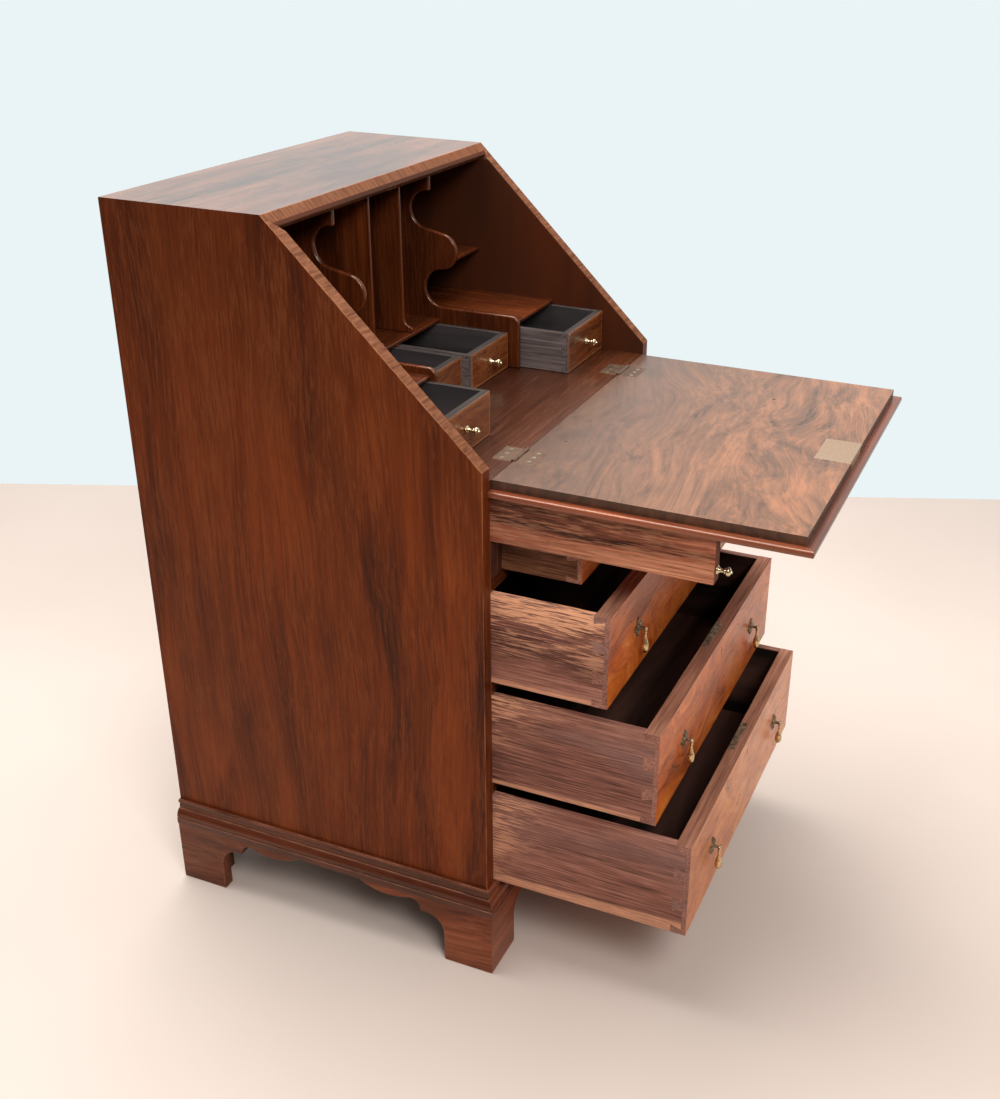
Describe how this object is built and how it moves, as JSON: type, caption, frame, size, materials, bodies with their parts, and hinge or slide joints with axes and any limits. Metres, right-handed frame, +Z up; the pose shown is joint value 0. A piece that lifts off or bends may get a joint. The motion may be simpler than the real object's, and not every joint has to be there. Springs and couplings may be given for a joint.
{
  "type": "slant-front desk",
  "caption": "Walnut slant-front desk with a hinged fall resting on lopers, a fitted interior of pigeonholes and small drawers, long drawers below and bracket feet.",
  "frame": {"origin": "on the floor, under the middle of the box round the desk in its rest pose, fall open and drawers as pictured", "axes": "+X to the desk's right seen from its front, +Y from the front to the back, +Z up"},
  "size_m": [0.593, 0.8784, 1],
  "materials": {
    "case_walnut": "waxed satin, warm reddish brown with dark streaks",
    "burr_walnut": "polished burr veneer with orange-brown swirls",
    "moulded_walnut": "polished dark red-brown moulding",
    "interior_walnut": "polished dark red-brown",
    "drawer_wood": "dry, worn and scraped",
    "stained_wood": "dark, dull",
    "carcase_wood": "rough, unpolished",
    "brass": "polished",
    "aged_brass": "dull, tarnished",
    "gilt_brass": "bright polished"
  },
  "bodies": {
    "case": {"side_left": "case_walnut", "side_right": "case_walnut", "top_board": "case_walnut", "back_boards": "carcase_wood", "bottom_board": "carcase_wood", "writing_board": "interior_walnut", "drawer_rails": "interior_walnut", "frieze_board": "interior_walnut", "drawer_runners": "carcase_wood", "loper_guides": "drawer_wood", "base_moulding": "case_walnut", "bracket_feet": "case_walnut", "foot_blocks": "carcase_wood", "divider_left": "interior_walnut", "divider_right": "interior_walnut", "thin_partitions": "interior_walnut", "interior_shelves": "interior_walnut", "hinge_case_leaves": "aged_brass", "hinge_case_screws": "aged_brass", "hinge_pins": "brass"},
    "fall": {"fall_panel": "burr_walnut", "fall_lip": "moulded_walnut", "hinge_fall_leaves": "aged_brass", "hinge_fall_screws": "aged_brass", "fall_lock": "aged_brass"},
    "fall_bolt": {"fall_lock_bolt": "aged_brass"},
    "left_loper": {"loper_left": "drawer_wood", "loper_left_knob": "brass"},
    "right_loper": {"loper_right": "drawer_wood", "loper_right_knob": "brass"},
    "frieze_drawer": {"frieze_drawer_front": "burr_walnut", "frieze_drawer_box": "drawer_wood", "frieze_drawer_knobs": "brass"},
    "left_drawer": {"left_drawer_front": "burr_walnut", "left_drawer_box": "stained_wood", "left_drawer_knob": "brass"},
    "right_drawer": {"right_drawer_front": "burr_walnut", "right_drawer_box": "stained_wood", "right_drawer_knob": "brass"},
    "centre_left_drawer": {"centre_left_drawer_front": "burr_walnut", "centre_left_drawer_box": "stained_wood", "centre_left_drawer_knob": "brass"},
    "centre_right_drawer": {"centre_right_drawer_front": "burr_walnut", "centre_right_drawer_box": "stained_wood", "centre_right_drawer_knob": "brass"},
    "upper_drawer": {"upper_drawer_front": "burr_walnut", "upper_drawer_box": "drawer_wood", "upper_drawer_brasses": "aged_brass"},
    "upper_left_drop": {"upper_drop_left": "gilt_brass"},
    "upper_right_drop": {"upper_drop_right": "gilt_brass"},
    "middle_drawer": {"middle_drawer_front": "burr_walnut", "middle_drawer_box": "drawer_wood", "middle_drawer_brasses": "aged_brass"},
    "middle_left_drop": {"middle_drop_left": "gilt_brass"},
    "middle_right_drop": {"middle_drop_right": "gilt_brass"},
    "lower_drawer": {"lower_drawer_front": "burr_walnut", "lower_drawer_box": "drawer_wood", "lower_drawer_brasses": "aged_brass"},
    "lower_left_drop": {"lower_drop_left": "gilt_brass"},
    "lower_right_drop": {"lower_drop_right": "gilt_brass"}
  },
  "joints": [
    {"name": "fall_hinge", "type": "hinge", "parent": "case", "child": "fall", "pos_m": [0, -0.058, 0.719], "axis": [1, 0, 0], "range_deg": [-135.75, 0]},
    {"name": "fall_bolt_slide", "type": "slide", "parent": "fall", "child": "fall_bolt", "axis": [0, -1, 0], "range_m": [0, 0.007]},
    {"name": "left_loper_slide", "type": "slide", "parent": "case", "child": "left_loper", "axis": [0, -1, 0], "range_m": [-0.273, 0.02]},
    {"name": "right_loper_slide", "type": "slide", "parent": "case", "child": "right_loper", "axis": [0, -1, 0], "range_m": [-0.273, 0.02]},
    {"name": "frieze_drawer_slide", "type": "slide", "parent": "case", "child": "frieze_drawer", "axis": [0, -1, 0], "range_m": [-0.104, 0.23]},
    {"name": "left_drawer_slide", "type": "slide", "parent": "case", "child": "left_drawer", "axis": [0, -1, 0], "range_m": [-0.083, 0.045]},
    {"name": "right_drawer_slide", "type": "slide", "parent": "case", "child": "right_drawer", "axis": [0, -1, 0], "range_m": [-0.08, 0.048]},
    {"name": "centre_left_drawer_slide", "type": "slide", "parent": "case", "child": "centre_left_drawer", "axis": [0, -1, 0], "range_m": [-0.097, 0.05]},
    {"name": "centre_right_drawer_slide", "type": "slide", "parent": "case", "child": "centre_right_drawer", "axis": [0, -1, 0], "range_m": [-0.108, 0.04]},
    {"name": "upper_drawer_slide", "type": "slide", "parent": "case", "child": "upper_drawer", "axis": [0, -1, 0], "range_m": [-0.153, 0.207]},
    {"name": "upper_left_drop_swing", "type": "hinge", "parent": "upper_drawer", "child": "upper_left_drop", "pos_m": [-0.16, -0.2213, 0.5084], "axis": [-1, 0, 0], "range_deg": [0, 85]},
    {"name": "upper_right_drop_swing", "type": "hinge", "parent": "upper_drawer", "child": "upper_right_drop", "pos_m": [0.16, -0.2213, 0.5084], "axis": [-1, 0, 0], "range_deg": [0, 85]},
    {"name": "middle_drawer_slide", "type": "slide", "parent": "case", "child": "middle_drawer", "axis": [0, -1, 0], "range_m": [-0.222, 0.138]},
    {"name": "middle_left_drop_swing", "type": "hinge", "parent": "middle_drawer", "child": "middle_left_drop", "pos_m": [-0.16, -0.2903, 0.3604], "axis": [-1, 0, 0], "range_deg": [0, 85]},
    {"name": "middle_right_drop_swing", "type": "hinge", "parent": "middle_drawer", "child": "middle_right_drop", "pos_m": [0.16, -0.2903, 0.3604], "axis": [-1, 0, 0], "range_deg": [0, 85]},
    {"name": "lower_drawer_slide", "type": "slide", "parent": "case", "child": "lower_drawer", "axis": [0, -1, 0], "range_m": [-0.27, 0.09]},
    {"name": "lower_left_drop_swing", "type": "hinge", "parent": "lower_drawer", "child": "lower_left_drop", "pos_m": [-0.16, -0.3383, 0.2049], "axis": [-1, 0, 0], "range_deg": [0, 85]},
    {"name": "lower_right_drop_swing", "type": "hinge", "parent": "lower_drawer", "child": "lower_right_drop", "pos_m": [0.16, -0.3383, 0.2049], "axis": [-1, 0, 0], "range_deg": [0, 85]}
  ]
}
